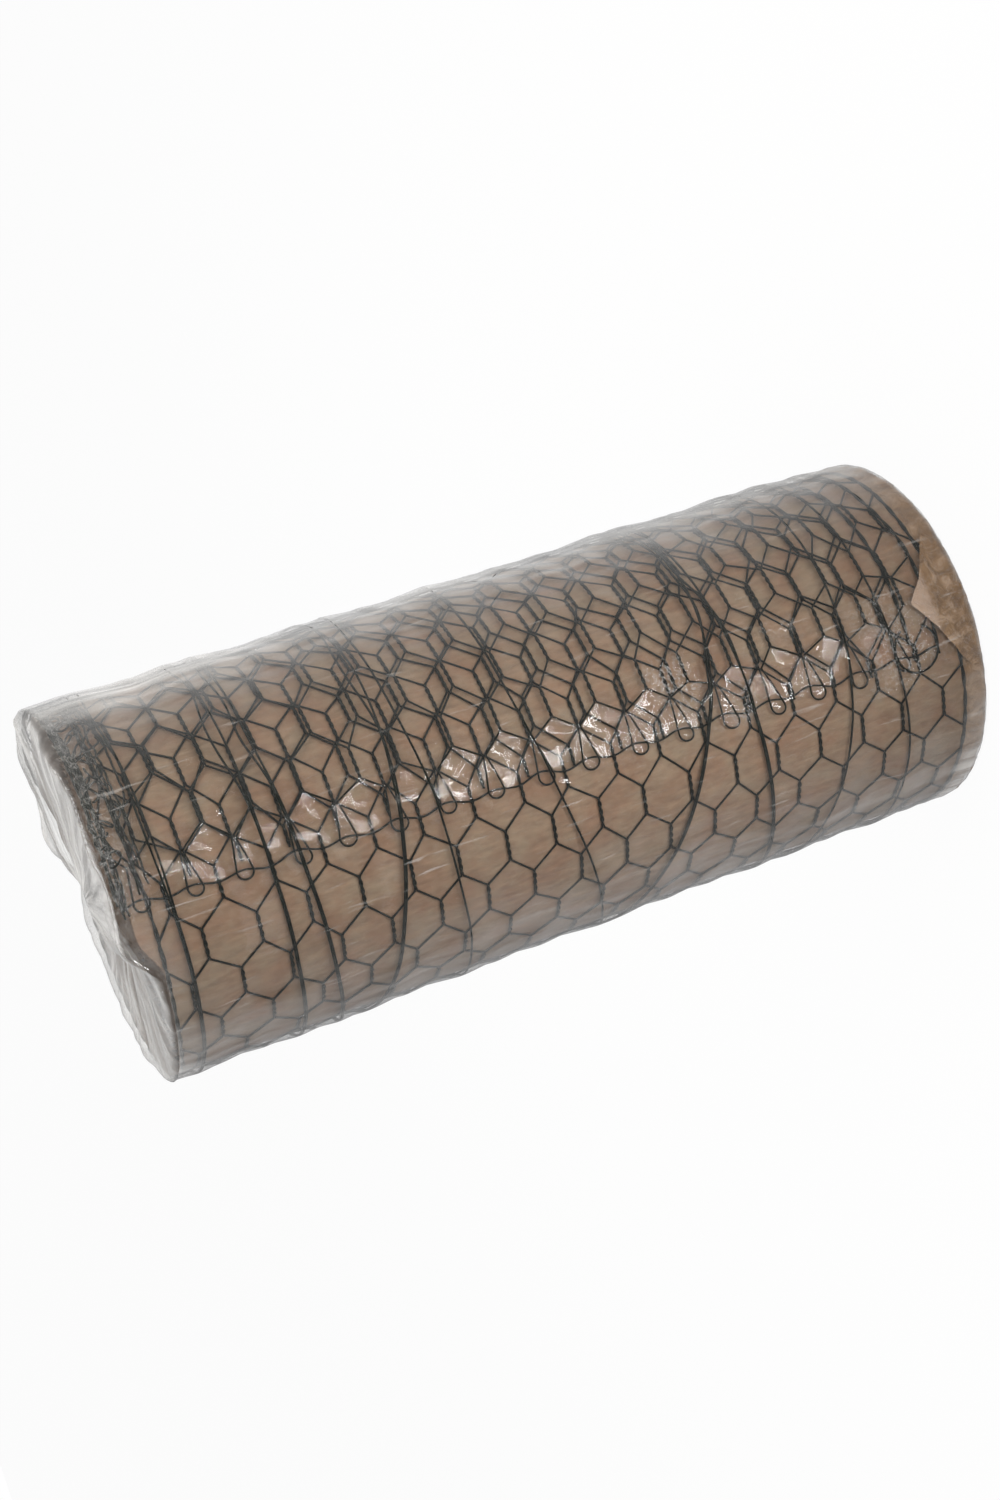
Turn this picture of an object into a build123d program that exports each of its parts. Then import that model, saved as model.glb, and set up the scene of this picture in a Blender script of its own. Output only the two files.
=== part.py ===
"""A roll of hexagonal wire netting, wound up with kraft paper, bound with wire and wrapped in clear stretch film.

Millimetres. The roll stands on one end on the floor at Z = 0, with its axis along Z. The outer end of the netting
lies along the front, which faces -Y. The last lap of the netting has slipped upwards by half a mesh, and the film is
gathered over it.
"""
import os
from math import cos
from math import radians
from math import sin

from build123d import *

# The netting: seventeen and a bit meshes across, from one selvedge to the other
mesh_pitch = 26.0
mesh_columns = 17.35
netting_width = mesh_pitch * mesh_columns
wire_diameter = 1.0
netting_thickness = 2 * wire_diameter

# The paper stands out beyond both selvedges of the netting, most of all at the lower end
lower_margin = 14.1
upper_margin = 2.3

# The wound roll of netting and paper
paper_radius = 96.5
bore_radius = 25.0
turn_count = 10
turn_relief = 3.0

# The outer end of the netting lies close to the front. From there its last lap has slipped up.
seam_angle = -98.5
slip_sweep = 158.0
lap_slip = mesh_pitch / 2

# The wires bound round the roll: how high each crosses the side of the front, and how far it rises towards it
binding_heights = [454.6, 401.8, 383.5, 348.2, 313.3, 242.3, 189.3, 134.7, 93.2, 51.6]
binding_rises = [1.2, 3.8, 10.3, -18.2, 8.8, 20.0, -27.0, 9.4, -17.0, 3.8]
binding_side_angle = -45.0
binding_seat = 0.1
overrun = 10.0

# The stretch film, several wraps thick
film_thickness = 0.3
film_clearance = 0.2
film_lap = 66.0
film_gather = 4.0
shoulder = 3.0
slack_angle = 8.0

# Sizes that follow from those
paper_width = lower_margin + netting_width + upper_margin
turn_pitch = (paper_radius - bore_radius) / turn_count
first_layer_radius = paper_radius + netting_thickness
second_layer_radius = first_layer_radius + netting_thickness
binding_radius = second_layer_radius + binding_seat + wire_diameter / 2
film_inner_radius = binding_radius + wire_diameter / 2 + film_clearance
film_outer_radius = film_inner_radius + film_thickness
film_opening_radius = film_outer_radius - film_lap
roll_bottom = film_thickness
roll_top = roll_bottom + paper_width
netting_bottom = roll_bottom + lower_margin
netting_top = netting_bottom + netting_width
slipped_top = netting_top + lap_slip

os.makedirs("parts", exist_ok=True)

# The wound roll is one turned body with a round bore. Its turns stand out as ridges on both ends.
top_profile = [(paper_radius, roll_top - turn_relief)]
bottom_profile = [(paper_radius, roll_bottom + turn_relief)]
for turn in range(turn_count):
    outside = paper_radius - turn * turn_pitch
    top_profile.append((outside - turn_pitch / 2, roll_top))
    top_profile.append((outside - turn_pitch, roll_top - turn_relief))
    bottom_profile.append((outside - turn_pitch / 2, roll_bottom))
    bottom_profile.append((outside - turn_pitch, roll_bottom + turn_relief))

with BuildPart() as wound_roll:
    with BuildSketch(Plane.XZ):
        with BuildLine():
            Polyline(*top_profile, *reversed(bottom_profile), close=True)
        make_face()
    revolve(axis=Axis.Z)
wound_roll.part.label = "wound_roll"
export_step(wound_roll.part, "parts/wound_roll.step")


def upright_plane(angle):
    """The plane through the axis that stands at an angle round it, with its X pointing outwards."""
    turn = radians(angle)
    return Plane(origin=(0, 0, 0), x_dir=(cos(turn), sin(turn), 0), z_dir=(sin(turn), -cos(turn), 0))


# The outer turn of netting: one layer all round, and a second one where its end laps over its start. The lap has
# slipped up, so its edges stand half a mesh above those of the layer below it.
lap_sections = [
    (0.0, slip_sweep, netting_bottom + lap_slip, slipped_top),
    (slip_sweep, 360.0 - slip_sweep, netting_bottom, netting_top),
]
turn_shares = [(start / 360, (start + sweep / 2) / 360, (start + sweep) / 360) for start, sweep, low, high in lap_sections]

with BuildPart() as outer_netting:
    with BuildSketch(Plane.XY.offset(netting_bottom)):
        Circle(first_layer_radius)
        Circle(paper_radius, mode=Mode.SUBTRACT)
    extrude(amount=netting_width)
    for shares, (start, sweep, low, high) in zip(turn_shares, lap_sections):
        outer_edge, inner_edge = [], []
        for share in shares:
            turn = radians(seam_angle + 360 * share)
            out = second_layer_radius - share * (netting_thickness - wire_diameter)
            inside = first_layer_radius - wire_diameter / 2
            outer_edge.append((out * cos(turn), out * sin(turn)))
            inner_edge.append((inside * cos(turn), inside * sin(turn)))
        with BuildSketch(Plane.XY.offset(low)):
            with BuildLine():
                ThreePointArc(*outer_edge)
                Line(outer_edge[2], inner_edge[2])
                ThreePointArc(*reversed(inner_edge))
                Line(inner_edge[0], outer_edge[0])
            make_face()
        extrude(amount=high - low)
outer_netting.part.label = "outer_netting"
export_step(outer_netting.part, "parts/outer_netting.step")

# Each binding wire is a closed loop that rises to one side: a thin tilted slice of a tube round the netting
side = radians(binding_side_angle)
loops = []
for height, rise in zip(binding_heights, binding_rises):
    uphill = Vector(binding_radius * cos(side), binding_radius * sin(side), rise)
    level = Vector(-sin(side), cos(side), 0)
    tilted_plane = Plane(origin=(0, 0, height), x_dir=uphill, z_dir=uphill.cross(level))
    with BuildPart() as loop:
        with BuildSketch(Plane.XY.offset(height)):
            Circle(binding_radius + wire_diameter / 2)
            Circle(binding_radius - wire_diameter / 2, mode=Mode.SUBTRACT)
        extrude(amount=abs(rise) + overrun, both=True)
        with BuildSketch(tilted_plane):
            Circle(binding_radius + abs(rise) + overrun)
        extrude(amount=wire_diameter / 2, both=True, mode=Mode.INTERSECT)
    loops.append(loop.part)

with BuildPart() as binding_wires:
    for loop_part in loops:
        add(loop_part)
binding_wires.part.label = "binding_wires"
export_step(binding_wires.part, "parts/binding_wires.step")

# The stretch film: a thin tube round everything. It is turned in flat under the roll, and over the top it is drawn in
# to a low cone, open round the bore. It stands higher over the slipped lap.
film_sections = [
    (seam_angle - slack_angle, slip_sweep + 2 * slack_angle, slipped_top + shoulder),
    (seam_angle + slip_sweep + slack_angle, 360.0 - slip_sweep - 2 * slack_angle, roll_top),
]
with BuildPart() as stretch_film:
    for start_angle, sweep, under_top in film_sections:
        film_profile = [
            (film_opening_radius, roll_bottom - film_thickness),
            (film_outer_radius - shoulder, roll_bottom - film_thickness),
            (film_outer_radius, roll_bottom - film_thickness + shoulder),
            (film_outer_radius, under_top + film_thickness - shoulder),
            (film_outer_radius - shoulder, under_top + film_thickness),
            (film_opening_radius, under_top + film_thickness + film_gather),
            (film_opening_radius, under_top + film_gather),
            (film_inner_radius - shoulder, under_top),
            (film_inner_radius, under_top - shoulder),
            (film_inner_radius, roll_bottom + shoulder),
            (film_inner_radius - shoulder, roll_bottom),
            (film_opening_radius, roll_bottom),
        ]
        with BuildSketch(upright_plane(start_angle)):
            with BuildLine():
                Polyline(*film_profile, close=True)
            make_face()
        revolve(axis=Axis.Z, revolution_arc=sweep)
stretch_film.part.label = "stretch_film"
export_step(stretch_film.part, "parts/stretch_film.step")
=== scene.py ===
# %% [markdown]
# # A roll of chicken wire
# Hexagonal wire netting is sold wound up on itself. This roll is wound together with brown kraft paper, bound
# with a few turns of thin wire, and wrapped in clear stretch film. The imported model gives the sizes: a turned
# roll that stands on its end, with its axis along Z. Here we lay the real paper, wires and film over its solids.

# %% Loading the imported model
import math

import bmesh
import bpy
import numpy as np
from mathutils import Matrix, Vector, noise


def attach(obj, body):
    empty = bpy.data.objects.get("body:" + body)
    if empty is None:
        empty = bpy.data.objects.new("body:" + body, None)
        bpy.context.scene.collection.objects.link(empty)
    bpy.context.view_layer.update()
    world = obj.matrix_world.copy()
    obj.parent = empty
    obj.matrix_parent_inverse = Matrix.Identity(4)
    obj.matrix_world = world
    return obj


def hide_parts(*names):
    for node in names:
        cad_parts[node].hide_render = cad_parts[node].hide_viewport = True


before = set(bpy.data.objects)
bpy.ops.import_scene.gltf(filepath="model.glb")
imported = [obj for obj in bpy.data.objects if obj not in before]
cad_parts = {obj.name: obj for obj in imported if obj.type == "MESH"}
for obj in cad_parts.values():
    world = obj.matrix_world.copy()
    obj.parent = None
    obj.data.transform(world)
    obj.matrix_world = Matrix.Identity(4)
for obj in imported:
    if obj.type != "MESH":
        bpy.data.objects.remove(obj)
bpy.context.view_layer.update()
MM = 0.001


# %% [markdown]
# ## Finding places on the roll
# Everything lies on or near a cylinder, so a place is given by three numbers: its height, its angle round the
# roll, and its distance from the axis. The angle is 0 at the front, which faces -Y, and grows towards -X.

# %% Places on the roll
ROUND = 100.0


def on_roll(height, angle, radius):
    """Points in metres, from heights and radii in mm and angles in degrees. Takes numbers or arrays."""
    turn = np.radians(angle)
    xs = -radius * np.sin(turn) * MM
    ys = -radius * np.cos(turn) * MM
    return np.stack(np.broadcast_arrays(xs, ys, height * MM), axis=-1)


def angle_of(length):
    """The angle that a length in mm takes up round the roll."""
    return np.degrees(length / ROUND)


print("foot of the front:", on_roll(0.0, 0.0, ROUND))

# %% [markdown]
# Much of this roll fades in and out smoothly, such as loose edges and milky patches. Three helpers do that: a ramp,
# a band with a ramp on each side, and smooth noise, either along a line or closed round the roll.


# %% Ramps and smooth noise
def soft_step(low, high, value):
    """0 below low, 1 above high, and a smooth ramp between them."""
    share = np.clip((value - low) / (high - low), 0.0, 1.0)
    return share * share * (3 - 2 * share)


def band(low, full_from, full_to, high, value):
    """1 between the two middle limits, 0 outside the two outer ones, and smooth ramps between them."""
    return soft_step(low, full_from, value) * (1.0 - soft_step(full_to, high, value))


def bell(middle, width, value):
    """1 in the middle, falling away on both sides."""
    return np.exp(-(((value - middle) / width) ** 2))


def wander(values, pace, row, layer=0.0):
    """Smooth noise along a line: pace is how fast it changes, and row and layer choose the line."""
    return np.array([noise.noise((value * pace, row, layer)) for value in values])


def swirl(angle, height, fine, tall):
    """Smooth noise on the roll: fine is how many patches fit round it, tall how fast it changes upwards."""
    turn = math.radians(angle)
    return noise.noise((math.cos(turn) * fine, math.sin(turn) * fine, height * tall))


def swirls(angles, heights, fine, tall):
    """The same for arrays of angles or heights."""
    return np.array([swirl(angle, height, fine, tall) for angle, height in np.broadcast(angles, heights)])


print("steps of a ramp:", soft_step(0.0, 1.0, np.linspace(0.0, 1.0, 5)))

# %% [markdown]
# The netting's outer end lies just past the front. From there its last lap has slipped upwards, so that one half of
# the upper end stands higher than the other. The paper and the film follow it.

# %% The slipped lap
END_ANGLE = 8.0


def slipped(angle, radius):
    """How far the last lap's slip shows on the upper end: 1 on the high half, 0 on the low half."""
    across = radius * np.sin(np.radians(END_ANGLE - angle))
    along = radius * np.cos(np.radians(END_ANGLE - angle))
    near = soft_step(-60.0, 60.0, along)
    return soft_step(-8.0, 28.0 - 14.0 * near, across + 30.0 * near)


print("slip at the front:", slipped(0.0, ROUND), "and at the back:", slipped(180.0, ROUND))

# %% [markdown]
# ## Wires and sheets
# Every new piece is a mesh that already lies in its place, so its object stays at the origin. It moves with the
# roll's one body, called root, and gets one of the finishes made below.


# %% New pieces
def new_piece(name, mesh, material):
    """Makes an object at the origin from a mesh, rides it on the roll and gives it a finish."""
    mesh.polygons.foreach_set("use_smooth", [True] * len(mesh.polygons))
    mesh.materials.append(material)
    piece = bpy.data.objects.new(name, mesh)
    bpy.context.scene.collection.objects.link(piece)
    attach(piece, "root")
    triangles = sum(len(p.vertices) - 2 for p in mesh.polygons)
    print(name, "has", triangles, "triangles")
    return piece


# %% [markdown]
# The netting has hundreds of twists. Blender makes such a mesh quickest from arrays, with all wires joined in one
# object. `tube` sweeps a ring of a few corners along a path. The ring is held upright by the direction away from
# the axis, which no wire here runs along, so the tube never twists.


# %% Wire tubes
def tube(path, radius, sides, closed=False):
    """One wire: points and quads of a tube along a path of points in metres."""
    path = np.asarray(path)
    if closed:
        along = np.roll(path, -1, axis=0) - np.roll(path, 1, axis=0)
    else:
        along = np.gradient(path, axis=0)
    along /= np.linalg.norm(along, axis=1)[:, None]
    out = path * np.array([1.0, 1.0, 0.0])
    out /= np.linalg.norm(out, axis=1)[:, None] + 1e-9
    side = np.cross(along, out)
    side /= np.linalg.norm(side, axis=1)[:, None] + 1e-9
    top = np.cross(side, along)
    turn = np.arange(sides) * 2 * math.pi / sides
    ring = np.cos(turn)[None, :, None] * top[:, None] + np.sin(turn)[None, :, None] * side[:, None]
    points = (path[:, None] + radius * MM * ring).reshape(-1, 3)
    count = len(path)
    rows = np.arange(count if closed else count - 1)
    here = (rows[:, None] * sides + np.arange(sides)[None]).ravel()
    beside = (rows[:, None] * sides + (np.arange(sides)[None] + 1) % sides).ravel()
    ahead = (here + sides) % (count * sides)
    ahead_beside = (beside + sides) % (count * sides)
    return points, np.stack([here, ahead, ahead_beside, beside], axis=1)


def wires(name, paths, radius, sides, material, closed=False):
    """Many wires joined in one piece."""
    points, quads, start = [], [], 0
    for path in paths:
        wire_points, wire_quads = tube(path, radius, sides, closed)
        points.append(wire_points)
        quads.append(wire_quads + start)
        start += len(wire_points)
    mesh = bpy.data.meshes.new(name)
    mesh.from_pydata(np.concatenate(points).tolist(), [], np.concatenate(quads).tolist())
    mesh.validate()
    return new_piece(name, mesh, material)


print("points of a short straight wire:", len(tube([(0, -1, 0), (0, -1, 1), (0, -1, 2)], 1.0, 5)[0]))

# %% [markdown]
# Paper and film are thin skins. `sheet` takes a flat grid of faces, the way paper comes off a machine, and moves
# each of its corners to its place on the roll. Numbers that a finish needs, such as how creased the paper is, go
# with the corners.

# %% Sheets
SAME_PLACE = 1e-7


def closed_round(values):
    """A grid with its first column repeated after its last."""
    return np.concatenate([values, values[:, :1]], axis=1)


def sheet(name, places, material, numbers=None, round_the_roll=False):
    """A skin from a grid of places, rows by columns. Its columns may close round the roll."""
    numbers = numbers or {}
    if round_the_roll:
        places = closed_round(places)
        numbers = {key: closed_round(values) for key, values in numbers.items()}
    bm = bmesh.new()
    layers = []
    for key, values in numbers.items():
        kind = bm.verts.layers.float_vector if values.ndim == 3 else bm.verts.layers.float
        layers.append((kind.new(key), values.reshape(-1, *values.shape[2:]).tolist()))
    bmesh.ops.create_grid(bm, x_segments=places.shape[1] - 1, y_segments=places.shape[0] - 1, size=1.0)
    for index, (vertex, place) in enumerate(zip(bm.verts, places.reshape(-1, 3).tolist())):
        vertex.co = place
        for layer, values in layers:
            vertex[layer] = values[index]
    if round_the_roll:
        bmesh.ops.remove_doubles(bm, verts=bm.verts, dist=SAME_PLACE)
    mesh = bpy.data.meshes.new(name)
    bm.to_mesh(mesh)
    bm.free()
    return new_piece(name, mesh, material)


print("sheets ready")

# %% [markdown]
# ## Finishes
# A finish is a small network of shader nodes. These helpers add a node, set its values and link it to the nodes
# before it in one line.


# %% Helpers for finishes
def feed(tree, socket, value):
    """Links a socket to another node's output, or sets it to a plain value."""
    if isinstance(value, bpy.types.NodeSocket):
        tree.links.new(value, socket)
    else:
        socket.default_value = value


def node(tree, kind, **inputs):
    """Adds a shader node and feeds its sockets by name."""
    made = tree.nodes.new("ShaderNode" + kind)
    for key, value in inputs.items():
        feed(tree, made.inputs[key.replace("_", " ")], value)
    return made


def grainy(tree, vector, **settings):
    """Noise, from 0 to 1."""
    return node(tree, "TexNoise", Vector=vector, **settings).outputs["Fac"]


def stretched(tree, value, **settings):
    """A value stretched between new limits."""
    return node(tree, "MapRange", Value=value, **settings).outputs["Result"]


def stored(tree, name, output="Fac"):
    """A number or a place that is stored on the mesh."""
    made = node(tree, "Attribute")
    made.attribute_name = name
    return made.outputs[output]


def fresh(name):
    """A new material, its node tree, its main shader and its object coordinates."""
    material = bpy.data.materials.new(name)
    material.use_nodes = True
    tree = material.node_tree
    return material, tree, tree.nodes["Principled BSDF"], node(tree, "TexCoord").outputs["Object"]


print("finishes can be mixed")

# %% [markdown]
# Kraft paper is matt and fibrous, with faint streaks along the grain and slightly darker and redder patches. Two
# noises give these: a fine one drawn out along the roll, and a coarse one that tints it.


# %% Kraft paper
def colours(tree, value, low, low_colour, high, high_colour):
    """Turns a value into a colour, with a ramp between two marks."""
    ramp = node(tree, "ValToRGB", Fac=value)
    first, last = ramp.color_ramp.elements
    first.position, first.color = low, (*low_colour, 1)
    last.position, last.color = high, (*high_colour, 1)
    return ramp


def mixed(tree, share, first, second, way="MIX"):
    """Mixes two colours."""
    mix = node(tree, "Mix")
    mix.data_type = "RGBA"
    mix.blend_type = way
    for index, value in ((0, share), (6, first), (7, second)):
        feed(tree, mix.inputs[index], value)
    return mix.outputs[2]


kraft, tree, shader, place = fresh("kraft_paper")
along_grain = node(tree, "Mapping", Vector=place, Scale=(380.0, 380.0, 90.0)).outputs["Vector"]
grain = grainy(tree, along_grain, Scale=1.0, Detail=6.0, Roughness=0.65)
brown = colours(tree, grain, 0.30, (0.152, 0.105, 0.071), 0.72, (0.236, 0.165, 0.112))
patch = grainy(tree, place, Scale=48.0, Detail=5.0, Roughness=0.66)
warm = colours(tree, patch, 0.36, (0.97, 0.75, 0.62), 0.64, (1.08, 1.12, 1.06))
tinted = mixed(tree, 0.75, brown.outputs["Color"], warm.outputs["Color"], "MULTIPLY")
shader.inputs["Roughness"].default_value = 0.85
print("kraft paper coloured")

# %% [markdown]
# Where the paper is loose it is wrinkled. There it is more orange, with pale worn lines along the wrinkles, and
# with painted shade and light that follow them: darker in their hollows and lighter on their ridges. Two numbers
# stored on the mesh say how much it is creased and how much paler its colour is.

# %% Wrinkles in the paper
creased = stored(tree, "creased")
wrinkle = grainy(tree, place, Scale=90.0, Detail=5.0, Roughness=0.62, Distortion=1.3)
# Painted shade and light: the noise that shapes the wrinkles' bumps also colours them, dark in the hollows and pale
# on the ridges, along with the worn lines.
worn_and_shaded = colours(tree, wrinkle, 0.36, (0.155, 0.086, 0.040), 0.66, (0.370, 0.250, 0.158))
worn_and_shaded.color_ramp.elements.new(0.52).color = (0.235, 0.138, 0.066, 1)
wrinkled = mixed(tree, creased, tinted, worn_and_shaded.outputs["Color"])
made_paler = mixed(tree, stored(tree, "pale"), wrinkled, (0.430, 0.315, 0.240, 1))
fibres = node(tree, "Bump", Strength=0.35, Distance=0.0006, Height=grain)
ridges = node(tree, "Bump", Strength=creased, Distance=0.004, Height=wrinkle, Normal=fibres.outputs["Normal"])
tree.links.new(made_paler, shader.inputs["Base Color"])
tree.links.new(ridges.outputs["Normal"], shader.inputs["Normal"])
print("kraft paper has", len(tree.nodes), "nodes")

# %% [markdown]
# The wire has a thin dark green coat with a soft shine. It is a little uneven, in its colour and in its shine.

# %% Coated wire
coat, tree, shader, place = fresh("coated_wire")
uneven = grainy(tree, place, Scale=180.0, Detail=3.0, Roughness=0.6)
dark_green = colours(tree, uneven, 0.35, (0.003, 0.004, 0.003), 0.75, (0.010, 0.013, 0.009))
tree.links.new(dark_green.outputs["Color"], shader.inputs["Base Color"])
tree.links.new(stretched(tree, uneven, To_Min=0.34, To_Max=0.62), shader.inputs["Roughness"])
shader.inputs["Specular IOR Level"].default_value = 0.18
print("wire coat has", len(tree.nodes), "nodes")

# %% [markdown]
# The film is clear: most light goes straight through, and a little is mirrored, more of it at a grazing angle. A
# number stored on the mesh, called crumple, says how deep its small dents are.


# %% Clear film
def maths(tree, operation, first, second):
    """Works on one value with another."""
    made = node(tree, "Math")
    made.operation = operation
    feed(tree, made.inputs[0], first)
    feed(tree, made.inputs[1], second)
    return made.outputs["Value"]


film, tree, shader, place = fresh("stretch_film")
tree.nodes.remove(shader)
clear = node(tree, "BsdfTransparent", Color=(0.985, 0.985, 0.985, 1))
crumpled = stored(tree, "crumple")
crinkle = grainy(tree, place, Scale=170.0, Detail=6.0, Roughness=0.68)
dents = node(tree, "Bump", Strength=crumpled, Distance=0.0016, Height=crinkle)
mirror = node(tree, "BsdfGlossy", Color=(1, 1, 1, 1), Roughness=0.09, Normal=dents.outputs["Normal"])
slant = node(tree, "LayerWeight", Blend=0.5).outputs["Facing"]
mirrored = stretched(tree, maths(tree, "POWER", slant, 2.5), To_Min=0.022, To_Max=0.80)
print("clear film ready")

# %% [markdown]
# Milky streaks follow the way the film was pulled: along the roll, and over its ends towards the middle. A place
# stored on the mesh, called pull, gives them their direction. Light takes a longer way through film seen at a
# slant, so it looks milkier there. On top come short scratches, and thin white lines where the film is crumpled.
# These lines are partly whitened creases and partly painted glints on its crinkles.

# %% Milky film
pull = stored(tree, "pull", "Vector")


def streaks(scale, detail, low, high, least, most):
    """Noise drawn out the way the film was pulled, turned into a share between two limits."""
    drawn_out = node(tree, "Mapping", Vector=pull, Scale=scale).outputs["Vector"]
    stripes = grainy(tree, drawn_out, Scale=1.0, Detail=detail, Roughness=0.6, Distortion=0.4)
    return stretched(tree, stripes, From_Min=low, From_Max=high, To_Min=least, To_Max=most)


longer = stretched(tree, maths(tree, "POWER", slant, 2.0), To_Min=0.30, To_Max=3.65)
hazy = maths(tree, "MULTIPLY", stored(tree, "haze"), longer)
veiled = maths(tree, "MULTIPLY", hazy, streaks((105.0, 105.0, 17.0), 5.0, 0.30, 0.72, 0.15, 1.9))
scratched = maths(tree, "ADD", veiled, streaks((420.0, 420.0, 34.0), 2.0, 0.64, 0.76, 0.0, 0.15))
off_middle = maths(tree, "ABSOLUTE", maths(tree, "SUBTRACT", crinkle, 0.5), 0.0)
# Painted glints: thin white lines along the crinkles, partly whitened creases in the film and partly standing in
# for its sparkle.
white_line_and_glint = stretched(tree, off_middle, From_Max=0.014, To_Min=0.50, To_Max=0.0)
milky = maths(tree, "ADD", scratched, maths(tree, "MULTIPLY", white_line_and_glint, crumpled))
milky.node.use_clamp = True
print("milky film ready")

# %% [markdown]
# Now the film's layers are laid over each other: clear film and milk, mixed by how milky it is, and the mirror on
# top.


# %% Film finish
def layered(tree, share, below, above):
    """Lays one shader over another."""
    mix = node(tree, "MixShader", Fac=share)
    tree.links.new(below, mix.inputs[1])
    tree.links.new(above, mix.inputs[2])
    return mix.outputs["Shader"]


milk = node(tree, "BsdfDiffuse", Color=(0.92, 0.90, 0.875, 1), Roughness=0.6)
body = layered(tree, milky, clear.outputs["BSDF"], milk.outputs["BSDF"])
skin = layered(tree, mirrored, body, mirror.outputs["BSDF"])
tree.links.new(skin, tree.nodes["Material Output"].inputs["Surface"])
print("film has", len(tree.nodes), "nodes")

# %% [markdown]
# ## The netting's weave
# Netting is made of zigzag wires. Each wire is twisted with its neighbour on one side, goes across to its neighbour
# on the other side, is twisted with that one, and so on, which leaves six-sided meshes. The twists run round the
# roll. We follow the netting inwards from its outer end, row by row. The end laps over the turn below it, so there
# are more layers of netting on the side of the roll that is up in the picture.

# %% Rows and columns of twists
MESH = 26.0
UPPER_SELVEDGE = 465.8
FIRST_COLUMN = 443.4
FIRST_HALF = -2
LAST_HALF = 33
OUTER_ROWS = 23
ROWS = 36
MARKED_ROWS = [1, 2, 3, 6, 17, 22, OUTER_ROWS, ROWS]
MARKED_ANGLES = [-11.9, -28.3, -45.2, -94.5, -272.7, -350.8, -367.2, -579.5]


def row_angle(row):
    """The angle of a row of twists halfway up the roll. Some rows are drawn out a little."""
    return np.interp(row, MARKED_ROWS, MARKED_ANGLES)


def half_column_height(half):
    """The height of the twists in a half column of the turn below, counted down from the upper selvedge."""
    return UPPER_SELVEDGE if half <= FIRST_HALF else FIRST_COLUMN - MESH / 2 * half


print("the outer turn ends at", row_angle(OUTER_ROWS), "degrees")

# %% [markdown]
# The netting is thick, so each turn lies closer to the axis than the one over it. The last lap has slipped up by
# half a mesh, and all rows lean a little, which turns them away from their true angle above and below the middle.

# %% How the netting winds on
OUTER_RADIUS = 100.4
UNDER_RADIUS = 98.2
SLIP = MESH / 2
HALFWAY = 222.3
LEAN = 0.0128
LAP_LEAN = 0.0030


def netting_radius(angle):
    """The middle of the netting: it eases inwards by its own thickness during its first turn."""
    drop = soft_step(160.0, 345.0, -angle)
    return OUTER_RADIUS - (OUTER_RADIUS - UNDER_RADIUS) * drop


def wound(angle, height):
    """The true angle and height of a place in the netting, with the slip and the lean."""
    lap = 1.0 - soft_step(116.0, 160.0, -angle)
    lean = (LEAN + LAP_LEAN * lap) * (HALFWAY - height)
    return angle + lean, height + SLIP * lap


print("the netting winds in from", netting_radius(0.0), "to", netting_radius(-360.0), "mm")

# %% [markdown]
# Real meshes are never quite even, so every twist is moved a little. The same table of shifts serves both wires of
# a twist, so they stay together. The outer lap is looser, and its first meshes are crushed against the upper edge.

# %% Uneven meshes
rng = np.random.default_rng(7)
shifts = rng.normal(0.0, 0.6, (ROWS + 3, LAST_HALF + 6, 2))


def pulled_down(angle):
    """How far the lower selvedge is pulled down near its corner, in mm."""
    return 2.5 * bell(-25.0, 14.0, angle)


def twist_place(row, half):
    """The angle and the height of a twist's middle."""
    angle = row_angle(row)
    height = half_column_height(half)
    around, up = shifts[row, half - FIRST_HALF]
    loose = 1.0 - soft_step(100.0, 200.0, -angle)
    if FIRST_HALF < half < LAST_HALF:
        crushed = loose * soft_step(422.0, 445.0, height)
        ragged = loose * (1.0 - soft_step(60.0, 180.0, height))
        around *= 1.0 + 0.8 * loose + 3.0 * crushed + 2.2 * ragged
        up = up * (1.0 + 0.8 * loose + 2.0 * crushed + 2.0 * ragged) + 6.0 * crushed
    else:
        up *= 0.5
    if half == LAST_HALF:
        up -= loose * pulled_down(angle)
    return wound(angle - angle_of(around), height + up)


print("first twist at", twist_place(1, 2))

# %% [markdown]
# One wire follows one lane between two half columns. In each row it joins the twist on its left or on its right by
# turns, and goes twice round its partner.

# %% A twist
TWIST = 16.8
STRAND = 0.54
STEPS = 12


def partner(lane, row):
    """The half column of the twist that a wire joins in a row, and the side of the twist where it starts."""
    half = lane if lane % 2 == (row + 1) % 2 else lane + 1
    return half, 1 if half == lane else -1


def twist_path(angle, height, side, first=0):
    """One wire's way through a twist: angles, heights and lifts of its points, from the outer end inwards."""
    share = np.arange(first, STEPS + 1) / STEPS
    spin = share * 4 * math.pi
    angles = angle - angle_of((share - 0.5) * TWIST)
    return angles, height - side * STRAND * np.cos(spin), side * STRAND * np.sin(spin)


print("a wire takes", STEPS, "steps through a twist of", TWIST, "mm")

# %% [markdown]
# At the outer end the wires are bent back on themselves, which leaves a row of hairpin loops along the edge. No two
# of them are alike, and those at the lower end of the roll are longer and lean more.

# %% Hairpin loops
NECK_ANGLE = -2.4
END_LEAN = 0.010
PIN_LENGTH = 22.0
PIN_WIDTH = 4.2
NECK_WIDTH = 0.7
PIN_DROP = 0.6


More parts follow.
